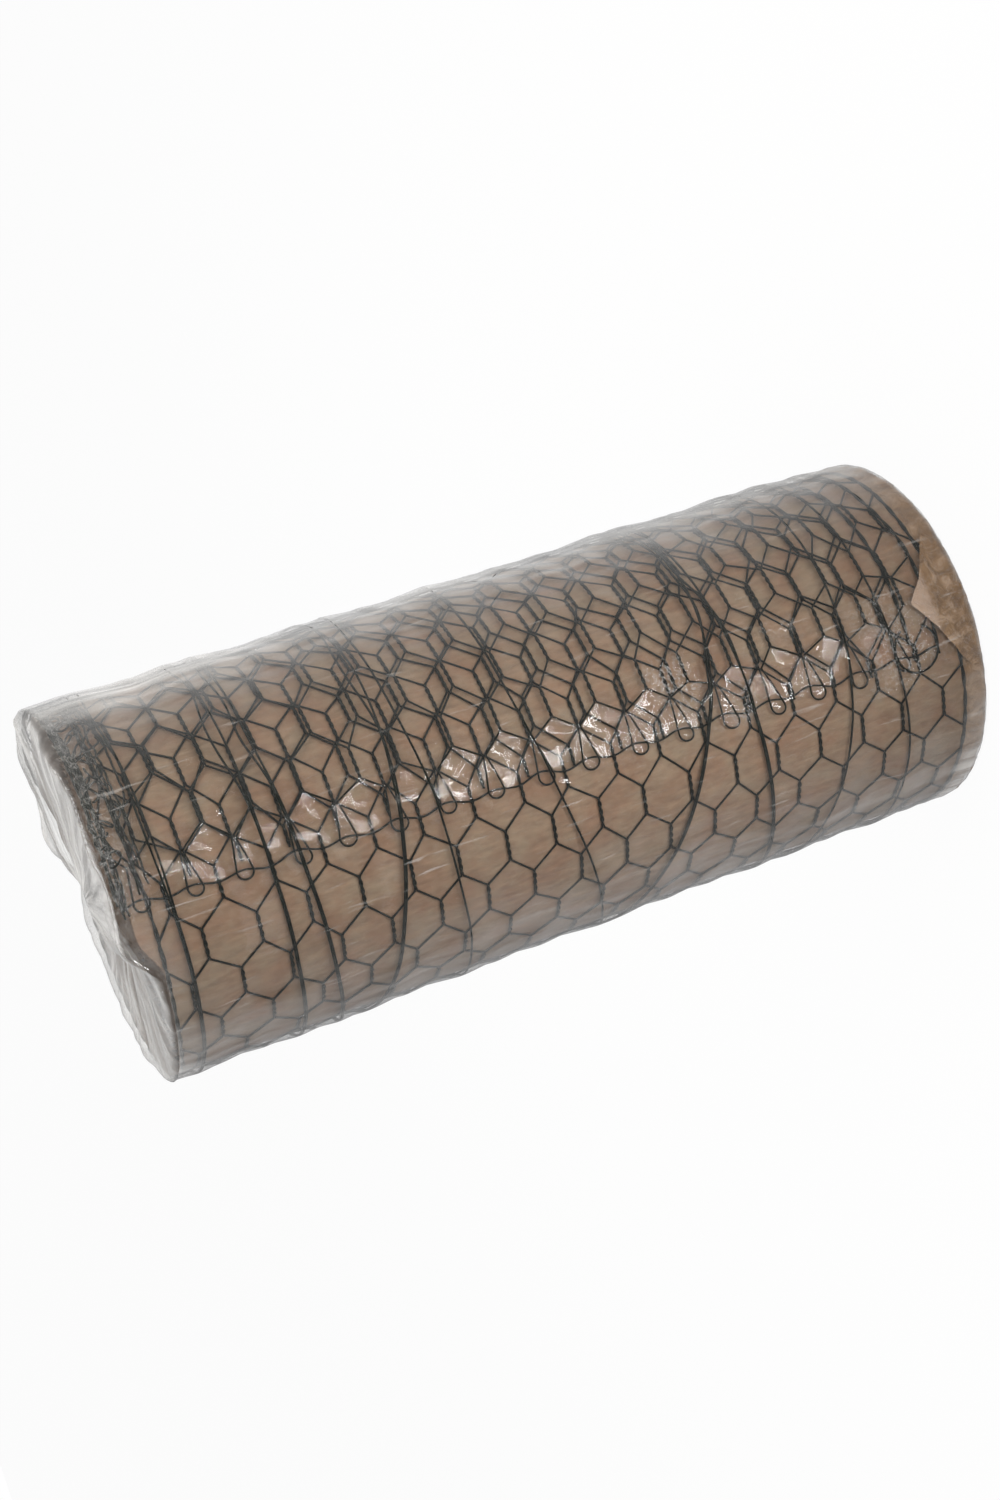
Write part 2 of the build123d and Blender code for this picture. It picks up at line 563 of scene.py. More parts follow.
def hairpin(half, side):
    """Half of a loop, from the middle of its bend up to its neck: angles, heights and lifts."""
    height = half_column_height(half) + SLIP + 1.5 * noise.noise((half * 1.9, 9.0, 0.0))
    longer_pin = 1.0 - soft_step(150.0, 280.0, height)
    leaning_pin = 1.0 - soft_step(140.0, 260.0, height)
    length = PIN_LENGTH + 3.0 * noise.noise((half * 3.7, 1.0, 0.0)) + 3.0 * longer_pin
    width = PIN_WIDTH + 1.4 * noise.noise((half * 2.3, 5.0, 0.0))
    swing = -1.0 + 3.0 * noise.noise((half * 1.3, 3.0, 2.0)) - 3.0 * leaning_pin
    bend = np.linspace(0.0, 1.0, 5) * math.pi / 2
    leg = np.array([0.3, 0.65, 1.0])
    down = np.concatenate([length - width * (1 - np.cos(bend)), (length - width) * (1 - leg)])
    across = np.concatenate([width * np.sin(bend), width * (1 - leg) + NECK_WIDTH * leg])
    neck = NECK_ANGLE + END_LEAN * (HALFWAY - height)
    return neck + angle_of(down), height - side * across + swing * down / length, -PIN_DROP * down / length


print("half a hairpin has", len(hairpin(3, 1)[0]), "points")

# %% [markdown]
# A whole wire is its half of a hairpin and then a twist in every row. The part that belongs to the outer turn and
# the part below its end are kept as two pieces.


# %% The netting
def joined(runs):
    """One path from several runs: its angles, heights and lifts."""
    return [np.concatenate(values) for values in zip(*runs)]


def wire_lane(lane):
    """The whole path of one wire in metres, and the number of its points that belong to the outer turn."""
    runs = []
    half, side = partner(lane, 0)
    if half < LAST_HALF:
        runs.append(hairpin(half, side))
    for row in range(1, ROWS + 1):
        half, side = partner(lane, row)
        runs.append(twist_path(*twist_place(row, half), side))
        if row == OUTER_ROWS:
            outer_count = sum(len(run[0]) for run in runs)
    angles, heights, lifts = joined(runs)
    return on_roll(heights, angles, netting_radius(angles) + lifts), outer_count


WIRE = 0.57
WIRE_SIDES = 5
lane_paths = [wire_lane(lane) for lane in range(FIRST_HALF, LAST_HALF)]
outer_paths = [path[:count] for path, count in lane_paths]
under_paths = [path[count - 1:] for path, count in lane_paths]
outer_turn = wires("netting_outer_turn", outer_paths, WIRE, WIRE_SIDES, coat)
wires("netting_under_lap", under_paths, WIRE, WIRE_SIDES, coat)
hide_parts("outer_netting")

# %% [markdown]
# The last rows of the netting are folded back under themselves at the hairpins, so that no sharp ends stick out.
# The folded part is drawn a little narrower, so its meshes drift past those above it from one end of the roll to
# the other.

# %% The part folded back
FOLD_RADIUS = 99.3
FOLD_ROWS = 8
FOLD_ANGLE = -10.4
FOLD_PITCH = 16.6
FOLD_LEAN = 0.025
FIRST_POINT = 4
OTHER_SHIFTS = 12


def folded_place(row, half):
    """The angle and the height of a twist in the part folded back."""
    around, up = 1.6 * shifts[row + OTHER_SHIFTS, half - FIRST_HALF]
    height = half_column_height(half) + SLIP
    height += 0.04 * (415.0 - height) + up
    angle = FOLD_ANGLE - FOLD_PITCH * (row - 1) + FOLD_LEAN * (HALFWAY - height) - angle_of(around)
    return angle, height


def folded_lane(lane):
    """The path of one wire in the part folded back, in metres."""
    runs = []
    for row in range(FOLD_ROWS + 1):
        half, side = partner(lane, row)
        runs.append(twist_path(*folded_place(row, half), side, first=0 if row else FIRST_POINT))
    angles, heights, lifts = joined(runs)
    return on_roll(heights, angles, FOLD_RADIUS + lifts)


folded_paths = [folded_lane(lane) for lane in range(FIRST_HALF, LAST_HALF)]
wires("netting_folded_back", folded_paths, WIRE, WIRE_SIDES, coat)

# %% [markdown]
# The netting's long edges are finished with a selvedge: two stronger wires twisted together, which the outermost
# zigzag wires are wrapped round. The part folded back has its own.

# %% Selvedges
EDGE_WIRE = 0.55
EDGE_TWIST = 15.0


def twisted_pair(heights, angles, radii):
    """Two wires twisted round each other along a line."""
    spin = angles / EDGE_TWIST * 2 * math.pi
    up = EDGE_WIRE * np.cos(spin)
    out = EDGE_WIRE * np.sin(spin)
    return [on_roll(heights + side * up, angles, radii + side * out) for side in (1, -1)]


edge_paths = []
selvedge_angles = np.arange(END_ANGLE, -580.0, -1.7)
ripple = 0.8 * np.sin(selvedge_angles / 35.0) + 0.5 * np.sin(selvedge_angles / 13.0)
for half, pull_down in ((FIRST_HALF, 0.0), (LAST_HALF, pulled_down(selvedge_angles))):
    true_angles, heights = wound(selvedge_angles, half_column_height(half) + ripple - pull_down)
    edge_paths += twisted_pair(heights, true_angles, netting_radius(selvedge_angles))
fold_angles = np.arange(6.0, -132.0, -1.7)
for height in (476.2, 43.0):
    edge_paths += twisted_pair(height + 1.2 * np.sin(fold_angles / 21.0), fold_angles, FOLD_RADIUS)
print("wires along the edges:", len(edge_paths))

# %% [markdown]
# A single wire also runs through the hairpins along the outer end. At the lower corner the last mesh is left as one
# wide loop.

# %% End wire and corner loop
LOOP_HEIGHT = 40.5
LOOP_ANGLE = 7.6
LOOP_RADIUS = 13.0
LOOP_SPREAD = 7.4
end_heights = np.arange(27.5, 478.0, 2.0)
end_sag = 0.8 * np.cos((end_heights - FIRST_COLUMN) / MESH * 2 * math.pi)
end_angles = END_ANGLE + END_LEAN * (HALFWAY - end_heights) - end_sag + 1.2 * wander(end_heights, 0.04, 0.0)
edge_paths.append(on_roll(end_heights, end_angles, OUTER_RADIUS - 1.6))
wires("netting_edges", edge_paths, EDGE_WIRE, 6, coat)
loop_turn = np.radians(np.arange(-150.0, 151.0, 12.0))
loop_heights = LOOP_HEIGHT - LOOP_RADIUS * np.sin(loop_turn)
loop_path = on_roll(loop_heights, LOOP_ANGLE + LOOP_SPREAD * np.cos(loop_turn), OUTER_RADIUS + 0.2)
wires("netting_corner_loop", [loop_path], 0.65, 8, coat)

# %% [markdown]
# Near its corner the upper selvedge is crushed. The wires of the first meshes are pressed into dark bundles that
# run along the edge, each on a wandering path made from smooth noise.

# %% Crushed bundles
bundles = [
    (478.2, 8.0, -84.0), (476.4, 6.0, -90.0), (474.8, 7.5, -76.0), (467.6, 3.0, -80.0),
    (465.2, -4.0, -86.0), (462.8, 1.0, -78.0), (458.0, -26.0, -80.0),
]
crushed_paths = []
for index, (height, start, stop) in enumerate(bundles):
    angles = np.arange(start, stop, -1.2)
    row = index * 7.0
    wave = 1.6 * wander(angles, 0.08, row, 1.0) + 0.9 * wander(angles, 0.30, row, 4.0)
    lift = 0.3 + 0.7 * wander(angles, 0.15, row, 9.0)
    crushed_paths.append(on_roll(height + wave, angles, OUTER_RADIUS + lift))
print("crushed bundles:", len(bundles))

# %% [markdown]
# Some of the crushed wires stick out in curls. A curl goes round a little more than once while it drifts along.

# %% Curls
CURL_POINTS = 26
curls = [
    (471.0, -67.0), (466.0, -61.0), (473.0, -57.0), (468.0, -72.0), (462.0, -66.0),
    (474.0, -18.0), (466.0, -33.0), (472.0, -42.0), (476.0, -9.0), (464.0, -22.0),
    (473.0, -76.0), (474.0, -70.0), (469.0, -78.0), (470.0, -50.0), (473.0, -29.0),
]
for index, (height, angle) in enumerate(curls):
    turn = np.linspace(0.0, 2 * math.pi * (1.3 + 0.2 * (index % 3)), CURL_POINTS)
    drift = np.linspace(-3.0, 3.0, CURL_POINTS)
    way = 1 if index % 2 else -1
    heights = height + drift * way + (2.4 + index % 3) * np.cos(turn + index)
    angles = angle + 0.6 * drift + (1.6 + 0.5 * (index % 4)) * np.sin(turn * 1.1 + 2 * index)
    lift = 0.5 + 0.5 * np.sin(turn * 0.7 + index)
    crushed_paths.append(on_roll(heights, angles, OUTER_RADIUS + lift))
wires("netting_crushed_edge", crushed_paths, 0.58, WIRE_SIDES, coat)

# %% [markdown]
# ## The binding wires
# Ten loops of thin wire hold the roll shut. Each lies in a tilted plane, so its height follows a sine round the
# roll. Some go round twice, and on the side that is up in the picture their two turns lie a little apart.

# %% Places of the binding wires
BINDING_WIRE = 0.6
BINDING_SEAT = 0.45
TILT_ANGLE = 45.0
bindings = [
    (454.6, 1.2, 2), (401.8, 3.8, 2), (383.5, 10.3, 2), (348.2, -18.2, 2), (313.3, 8.8, 1),
    (241.5, 24.6, 1), (192.1, -43.7, 2), (134.7, 9.4, 2), (93.2, -17.0, 1), (51.6, 3.8, 1),
]


def outside(angle):
    """The outside of the netting at an angle round the roll, with an eased step just past the hairpins."""
    past_seam = np.mod(12.0 - angle, 360.0)
    step = 1.0 - soft_step(0.0, 10.0, past_seam)
    return netting_radius(-past_seam) + 1.05 - step * (OUTER_RADIUS - UNDER_RADIUS)


print("binding wires go round", sum(times_round for height, rise, times_round in bindings), "times")

# %% Binding wires
round_angles = np.arange(0.0, 360.0, 2.5)
side_up = soft_step(-0.2, 0.5, np.sin(np.radians(-round_angles)))
tilt = np.sin(np.radians(round_angles - TILT_ANGLE))
binding_paths = []
for index, (height, rise, times_round) in enumerate(bindings):
    row = index * 5.0
    stray = swirls(round_angles, row, 1.7, 1.0)
    apart = swirls(round_angles, row + 2.5, 2.1, 1.0)
    for again in range(times_round):
        heights = height - rise * tilt + 2.2 * stray + again * (0.9 + side_up * (1.5 + 7.0 * apart))
        binding_paths.append(on_roll(heights, round_angles, outside(round_angles) + BINDING_SEAT))
binding = wires("binding_wires_round_roll", binding_paths, BINDING_WIRE, 6, coat, closed=True)
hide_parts("binding_wires")

# %% [markdown]
# ## The paper
# The outermost turn of paper shows between the wires, and it swells a little where no wire presses on it. To find
# those places, we mark the wires on a grid and let the distance to the nearest wire grow from cell to cell. The
# lap lies on other netting, so it isn't marked.

# %% Pillows between the wires
PAPER_STEP = 1.5
PAPER_COLUMNS = 240
PILLOW_ROW = 2.0
PILLOW_ROWS = 240
PILLOW_WIDTH = 9.0
LAP_POINTS = 100
FAR = 99.0


def angle_at(points):
    """The angles of points round the roll."""
    return np.degrees(np.arctan2(-points[:, 0], -points[:, 1]))


def neighbours(up, along, corner):
    """The eight neighbours of a cell: rows and columns to go, and the distance in mm."""
    for rows, columns, distance in ((1, 0, up), (0, 1, along), (1, 1, corner), (1, -1, corner)):
        for sign in (1, -1):
            yield sign * rows, sign * columns, distance


pillow = np.full((PILLOW_ROWS, PAPER_COLUMNS), FAR)
for path in [p[LAP_POINTS:] for p in outer_paths] + under_paths:
    fine = np.concatenate([path[:-1], (path[1:] + path[:-1]) / 2]) / MM
    i = np.clip(np.round(fine[:, 2] / PILLOW_ROW).astype(int), 0, PILLOW_ROWS - 1)
    j = np.round(angle_at(fine) / PAPER_STEP).astype(int) % PAPER_COLUMNS
    pillow[i, j] = 0.0
for step in range(8):
    for rows, columns, distance in neighbours(PILLOW_ROW, 2.6, 3.28):
        pillow = np.minimum(pillow, np.roll(pillow, (rows, columns), axis=(0, 1)) + distance)
pillow = np.clip(pillow / PILLOW_WIDTH, 0.0, 1.0)
print("share of the paper that stands highest:", round(float(np.mean(pillow == 1.0)), 2))

# %% [markdown]
# The paper gets a fine grid with soft buckles in it, and creases near its lower edge, where no netting holds it
# down. Its upper edge sticks out on one side, because the last turn has slipped.

# %% Shape of the outer turn
PAPER_RADIUS = 97.5
PAPER_TOP = 466.8
PAPER_SLIP = 8.4


def from_angle(middle, angle):
    """How far an angle lies from another, between -180 and 180."""
    return np.mod(angle - middle + 180.0, 360.0) - 180.0


def paper_top(angle):
    """The upper edge of the outer turn."""
    stands_out = slipped(angle + 3.0, 98.0) * soft_step(-165.0, -135.0, from_angle(0.0, angle))
    return PAPER_TOP + PAPER_SLIP * stands_out


def paper_radius(angle, height, edge):
    """How far out the paper lies: it swells between the wires, buckles, and flares at its lower edge."""
    row = int(min(height / PILLOW_ROW, PILLOW_ROWS - 1))
    column = round(angle / PAPER_STEP) % PAPER_COLUMNS
    puff = 0.55 * pillow[row, column] * soft_step(15.0, 22.0, height)
    buckle = 0.5 * swirl(angle, height, 5.0, 0.02) + 0.22 * swirl(angle, height, 14.0, 0.06)
    flare = (1.0 - soft_step(6.0, 14.0, height)) * (2.0 + 1.4 * swirl(angle, height, 9.0, 0.03))
    turned_in = 1.5 * (1.0 - soft_step(0.0, 2.0, height - edge))
    return PAPER_RADIUS + puff + min(buckle, 0.3) + flare - turned_in


print("upper edge of the paper at the front:", round(paper_top(0.0), 1), "mm")

# %% Outer turn of paper
PLAIN_FROM = 32.0
paper_angles = np.arange(0.0, 361.5, PAPER_STEP)
low_rows = np.arange(0.0, 30.0, 1.5)
shares = np.linspace(0.0, 1.0, 130)
grid = np.zeros((len(low_rows) + len(shares), len(paper_angles), 3))
for j, angle in enumerate(paper_angles):
    edge = 0.9 + 0.5 * swirl(angle, 0.0, 4.0, 1.0)
    heights = np.concatenate([edge + low_rows, PLAIN_FROM + (paper_top(angle) - PLAIN_FROM) * shares])
    for i, height in enumerate(heights):
        grid[i, j] = on_roll(height, angle, paper_radius(angle, height, edge))
loose_edge = 0.75 * (1.0 - soft_step(9.0, 22.0, grid[:, :, 2] / MM))
paper = sheet("kraft_outer_turn", grid, kraft, {"creased": loose_edge})
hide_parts("wound_roll")

# %% [markdown]
# At the lower end a loose corner of paper is turned back over the selvedges. It is creased, and its tip lies on top
# of the netting's corner. It is a thin skin: its upper edge is a line of a few corners, and noise buckles it.

# %% Turned-back paper corner
CORNER_RADIUS = 99.8
edge_angles = [-33.0, -22.6, -15.7, -12.0, -5.6, 3.4, 13.8, 18.0]
edge_heights = [2.5, 15.0, 22.0, 26.0, 36.5, 25.5, 15.0, 9.0]
corner_angles = np.arange(-33.0, 18.1, 0.75)
corner_shares = np.linspace(0.0, 1.0, 30)
corner_grid = np.zeros((len(corner_shares), len(corner_angles), 3))
for j, angle in enumerate(corner_angles):
    top = np.interp(angle, edge_angles, edge_heights)
    edge = 1.2 + 0.6 * swirl(angle, 4.0, 4.0, 1.0)
    for i, share in enumerate(corner_shares):
        height = edge + (top - edge) * share
        crease = 1.6 * abs(swirl(angle, height, 13.0, 0.10)) + 1.0 * abs(swirl(angle, height, 27.0, 0.22))
        on_netting = 1.9 * soft_step(8.0, 22.0, height)
        turned_in = 1.6 * (1.0 - soft_step(0.0, 3.5, height - edge)) + 0.5 * soft_step(0.9, 1.0, share)
        radius = CORNER_RADIUS + on_netting + crease * soft_step(0.0, 3.0, height) - turned_in
        corner_grid[i, j] = on_roll(height, angle, radius)
# The tip of the corner is given a paler colour.
pale_tip = 0.7 * soft_step(22.5, 26.0, corner_grid[:, :, 2] / MM)
corner_numbers = {"creased": np.full(corner_grid.shape[:2], 0.9), "pale": pale_tip}
sheet("kraft_corner", corner_grid, kraft, corner_numbers)

# %% [markdown]
# The inner turns only show their edges on the two ends. They are one long spiral strip of paper, and its edges are
# a little uneven because paper never winds up square. Between its turns lie the selvedges of the inner netting.

# %% Inner turns of paper
TURNS = 20
BORE = 25.3
LAST_TURN = 95.0
spiral_angles = np.arange(0.0, 360.0 * TURNS + 1, 5.0)
spiral_radii = BORE + (LAST_TURN - BORE) * spiral_angles / spiral_angles[-1]
uneven_top = wander(spiral_angles, 0.012, 2.0)
wobble = 0.5 * wander(spiral_angles, 0.02, 5.0, 1.0)
tops = 463.6 + 1.6 * uneven_top + 8.0 * slipped(spiral_angles, spiral_radii)
bottoms = 2.6 + 1.6 * wander(spiral_angles, 0.013, 8.0)
strip = np.stack([on_roll(h, spiral_angles, spiral_radii + wobble) for h in (bottoms, 30.0, 430.0, tops)])
sheet("kraft_inner_turns", strip, kraft)

# %% Inner selvedges
INNER_WIRE = 0.5
inner_edges = []
for height in (460.5, 15.5):
    for spin_start in (0.0, math.pi):
        spin = spiral_angles / 18.0 + spin_start
        heights = height + 1.4 * uneven_top + INNER_WIRE * np.cos(spin)
        inner_edges.append(on_roll(heights, spiral_angles, spiral_radii + 1.7 + INNER_WIRE * np.sin(spin)))
wires("netting_inner_edges", inner_edges, INNER_WIRE, 4, coat)

# %% [markdown]
# ## The stretch film
# The film is a very thin skin, so one layer of faces is enough. It goes round the side in level rings. Near the
# upper end they are drawn up over the slipped lap, and they hang down a little on the far side.

# %% Levels of the film
FILM_ROW = 2.0
MM_PER_DEGREE = 1.75
DRAWN_FROM = 430.0
DRAWN_SPAN = 36.0
film_angles = np.arange(0.0, 360.0, 1.0)
side_heights = np.arange(5.0, 468.0, FILM_ROW)


def droop(angle):
    """How far the film's upper rim hangs down on the far side, in mm."""
    return 4.2 * band(118.0, 134.0, 166.0, 184.0, np.mod(-angle, 360.0))


def drawing(angle):
    """How much the uppermost part of the film is drawn up, as a share of its height."""
    return (SLIP * slipped(angle, ROUND) - droop(angle)) / DRAWN_SPAN


def drawn_up(level, angle):
    """The height of a level of the film."""
    return level + np.maximum(level - DRAWN_FROM, 0.0) * drawing(angle)


def level_of(height, angle):
    """The level of the film at a height, the reverse of drawn_up."""
    drawn_back = DRAWN_FROM + (height - DRAWN_FROM) / (1.0 + drawing(angle))
    return np.where(height > DRAWN_FROM, drawn_back, height)


print("the uppermost level lies at", drawn_up(side_heights[-1], 0.0), "mm at the front")

# %% [markdown]
# The film is drawn tight over the wires and makes a shallow tent between them. First we note on a grid how far out
# the wires reach.

# %% Wires under the film
reach = np.full((len(side_heights), len(film_angles)), PAPER_RADIUS + 0.5)


def press(paths, thickness):
    """Lets wires lift the film where they run."""
    for path in paths:
        steps = path[1:] - path[:-1]
        fine = np.concatenate([path[:-1] + steps * share for share in (0.0, 0.34, 0.67)]) / MM
        angles = angle_at(fine)
        radius = np.hypot(fine[:, 0], fine[:, 1]) + thickness
        i = np.round((level_of(fine[:, 2], angles) - side_heights[0]) / FILM_ROW).astype(int)
        j = np.round(angles).astype(int) % len(film_angles)
        good = (i >= 0) & (i < len(side_heights))
        np.maximum.at(reach, (i[good], j[good]), radius[good])


press(outer_paths + under_paths + folded_paths + binding_paths, 0.75)
press(edge_paths + crushed_paths + [loop_path], 0.7)
press(list(corner_grid) + list(grid[:len(low_rows)]), 0.35)
print("the film is lifted to", round(reach.max(), 2), "mm")

# %% [markdown]
# Then we let the skin slope down from every wire to its neighbours until it rests on the paper. Along the hairpins
# it is slack and slopes more. Last it is smoothed, and lifted off the paper wherever that swells.

# %% Tents over the wires
PAPER_GAP = 0.35
seam_side = from_angle(0.0, film_angles)
near_seam = band(-16.0, -8.0, 9.0, 14.0, seam_side)
wide_seam = band(-16.0, -8.0, 16.0, 22.0, seam_side)
low_part = 1.0 - soft_step(60.0, 110.0, side_heights)
seam_band = near_seam[None, :] + (wide_seam - near_seam)[None, :] * low_part[:, None]
slope = 0.10 + (0.22 - 0.13 * low_part[:, None]) * seam_band
for step in range(14):
    for rows, columns, distance in neighbours(FILM_ROW, MM_PER_DEGREE, 2.66):
        moved = np.roll(reach, (rows, columns), axis=(0, 1))
        if rows:
            moved[0 if rows > 0 else -1] = 0.0
        reach = np.maximum(reach, moved - slope * distance)
for step in range(2):
    up = np.vstack([reach[:1], reach[:-1]])
    down = np.vstack([reach[1:], reach[-1:]])
    blurred = 0.4 * reach + 0.15 * (np.roll(reach, 1, 1) + np.roll(reach, -1, 1) + up + down)
    reach = np.maximum(blurred, reach - 0.15)
for j, angle in enumerate(film_angles):
    column = grid[:, round(angle / PAPER_STEP)] / MM
    paper_out = np.hypot(column[:, 0], column[:, 1])
    below = np.interp(drawn_up(side_heights, angle), column[:, 2], paper_out)
    reach[:, j] = np.maximum(reach[:, j], below + PAPER_GAP)
print("film reaches from", round(reach.min(), 2), "to", round(reach.max(), 2), "mm")

# %% [markdown]
# Two numbers go with every point of the film: how milky it is, and how crumpled. Each ring also notes how far along
# the film it lies, from the lower end to the upper end. Under the roll the film lies in small pleats.

# %% Film under the roll
low_rings = [
    (36.0, 0.9), (46.0, 0.8), (56.0, 0.8), (66.0, 0.7), (76.0, 0.6), (86.0, 0.5), (94.0, 0.4), (98.2, 0.5),
    (99.9, 1.7),
]
film_rows, haze_rows, crumple_rows, along_rows = [], [], [], []


def add_ring(heights, radii, haze, crumple, along):
    """Adds a ring to the film: its places, how milky and crumpled it is there, and how far along it lies."""
    film_rows.append(on_roll(heights, film_angles, radii))
    haze_rows.append(haze + 0 * film_angles)
    crumple_rows.append(crumple + 0 * film_angles)
    along_rows.append(along)


for ring_radius, height in low_rings:
    pleats = abs(swirls(film_angles, ring_radius, 16.0, 0.03))
    radii = ring_radius + 0.5 * swirls(film_angles, height, 7.0, 0.2)
    add_ring(np.maximum(height + pleats, 0.2), radii, 0.10, 0.3, ring_radius - ROUND)
print("rings under the roll:", len(low_rings))

# %% [markdown]
# Round the side the film is almost clear. It is milkier where it is bunched up at the upper edge, at the lower
# edge, and where it turns away over the top and the bottom of the picture. That last milk is partly the film's own
# milkiness and partly a painted sheen, a white veil that stands in for the film's bright reflection where it is
# seen at a grazing angle.

# %% How milky the side is
RIM_FROM = 448.0
RIM = 467.0
over_top = band(32.0, 75.0, 105.0, 160.0, -seam_side)
far_side = band(100.0, 125.0, 250.0, 330.0, np.mod(-film_angles, 360.0))
at_step = band(4.0, 12.0, 30.0, 40.0, seam_side)
below_seam = soft_step(8.0, 30.0, seam_side)
# Painted sheen: over the top and the bottom of the picture the film is made milkier, partly for its real milkiness
# and partly to stand in for its reflection.
veil_and_painted_sheen = 0.092 * over_top + 0.062 * band(20.0, 60.0, 110.0, 170.0, seam_side)


def side_haze(level):
    """How milky the film is all round at a level, with a painted sheen over the top and the bottom of the picture.
    """
    at_rim = (0.04 + 0.16 * far_side + 0.12 * at_step) * soft_step(RIM_FROM, RIM, level)
    at_foot = 0.20 * (1.0 - soft_step(8.0, 20.0, level)) * below_seam
    bunched = 0.13 * band(330.0, 430.0, 440.0, 462.0, level) * over_top
    return 0.010 + at_rim + at_foot + veil_and_painted_sheen + bunched


print("milkiest at the rim:", round(side_haze(RIM).max(), 3))

# %% [markdown]
# Along the hairpins the film is crumpled into small sparkling dents, most of all in the lower half of the roll. It
# is also crumpled inside the wide corner loop, over the turned-back paper and at the crushed corner.

# %% How crumpled the side is
crushed_corner = band(-84.0, -70.0, 4.0, 12.0, seam_side)
paper_corner = band(-36.0, -26.0, 8.0, 18.0, seam_side)


def side_crumple(i, level, heights):
    """How crumpled the film is all round at a level."""
    least_patchy = 0.6 * (1.0 - soft_step(55.0, 85.0, level))
    patchy = np.maximum(soft_step(-0.1, 0.25, swirls(film_angles, heights, 4.0, 0.03)), least_patchy)
    sparkle = 1.2 * (1.0 - 0.4 * low_part[i]) * patchy * band(24.0, 50.0, 180.0, 225.0, level)
    at_rim = 0.6 * soft_step(RIM_FROM, RIM, level) * crushed_corner
    over_corner = 0.20 * (1.0 - soft_step(24.0, 38.0, level)) * paper_corner
    from_loop = np.hypot(level - LOOP_HEIGHT, MM_PER_DEGREE * (seam_side - LOOP_ANGLE))
    in_loop = 0.45 * (1.0 - soft_step(8.0, 13.0, from_loop))
    return 0.06 + (0.08 + sparkle) * seam_band[i] + at_rim + over_corner + in_loop


print("most crumpled at the rim:", round(side_crumple(-1, RIM, film_angles * 0 + RIM).max(), 2))

# %% Film round the side
bulge = 2.2 * bell(-102.0, 13.0, seam_side)
for i, level in enumerate(side_heights):
    heights = drawn_up(level, film_angles)
    ruffle = 0.25 * swirls(film_angles, heights, 18.0, 0.02)
    radii = reach[i] + bulge * soft_step(RIM_FROM, RIM, level) + ruffle
    add_ring(heights, radii, side_haze(level), side_crumple(i, level, heights), level)
print("rings round the side:", len(side_heights))

# %% [markdown]
# Over the upper end the film is gathered in loose folds that close over the bore. It is a little dished, and it
# steps down from the high half to the low half.

# %% Folds over the upper end
END_STEP = 13.4
DENT_ANGLE = 220.0


def end_fold(ring_radius):
    """The height of the folds in a ring over the upper end, and of the gathers that run to its middle."""
    across = on_roll(0.0, film_angles, ring_radius)[:, :2] / MM
    soft = np.array([noise.noise((x * 0.035, y * 0.035, 2.0)) for x, y in across])
    small = np.array([noise.noise((x * 0.08, y * 0.08, 5.0)) for x, y in across])
    gathers = abs(swirls(film_angles, ring_radius, 5.0, 0.008)) * soft_step(2.0, 50.0, ring_radius)
    return 2.6 * soft + 0.8 * abs(small) + 2.4 * gathers


def end_height(ring_radius, rise, inner):
    """The heights of a ring over the upper end."""
    high = slipped(film_angles, ring_radius)
    dent = 2.6 * bell(0.0, 6.0, from_angle(DENT_ANGLE, film_angles)) * soft_step(50.0, 95.0, ring_radius)
    crease = 1.6 * bell(0.5, 0.22, high)
    hang = droop(film_angles) * soft_step(40.0, 90.0, ring_radius)
    return RIM + END_STEP * high + rise - hang + inner * (end_fold(ring_radius) - dent - crease)


print("folds near the rim are up to", round(end_fold(95.5).max(), 1), "mm high")

# %% Film over the upper end
high_rings = [
    (100.6, 0.9), (99.6, 1.8), (98.0, 2.4), (95.5, 2.6), (92.0, 2.5), (88.0, 2.3), (83.5, 2.0), (78.5, 1.7),
    (73.0, 1.4), (67.0, 1.1), (61.0, 0.8), (55.0, 0.5), (49.0, 0.3), (42.5, 0.1), (36.3, 0.0), (28.0, -0.2),
    (20.0, -0.4), (12.0, -0.7), (5.0, -1.0), (1.5, -1.2), (0.0, -1.2),
]
for ring_radius, rise in high_rings:
    inner = 1.0 - soft_step(96.5, 100.8, ring_radius)
    ruffle = inner * swirls(film_angles, rise, 10.0, 0.4) * soft_step(0.0, 6.0, ring_radius)
    radii = ring_radius + bulge * soft_step(80.0, 97.0, ring_radius) + ruffle
    milk_middle = 0.20 * (1.0 - soft_step(4.0, 26.0, ring_radius))
    haze = 0.06 + (0.090 + 0.060 * slipped(film_angles, ring_radius)) * inner + milk_middle
    crumple = 0.22 + 0.10 * soft_step(30.0, 70.0, ring_radius)
    add_ring(end_height(ring_radius, rise, inner), radii, haze, crumple, RIM + ROUND - ring_radius)
print("rings over the upper end:", len(high_rings))

# %% [markdown]
# The rings are joined into one skin. Its columns run the other way round, so that its faces point outwards.

# %% Film skin
pulls = on_roll(np.array(along_rows)[:, None], film_angles[None], ROUND)[:, ::-1]
places, hazes, crumples = (np.array(rows)[:, ::-1] for rows in (film_rows, haze_rows, crumple_rows))
film_numbers = {"haze": hazes, "crumple": crumples, "pull": pulls}
wrap = sheet("film_wrap", places, film, film_numbers, round_the_roll=True)
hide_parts("stretch_film")

# %% [markdown]
# ## Floor, light and camera
# The roll stands on a pale floor. To the camera the floor is almost pure white, as in a studio. In the film's
# reflections it is a card that grows darker towards the side that is down in the picture.

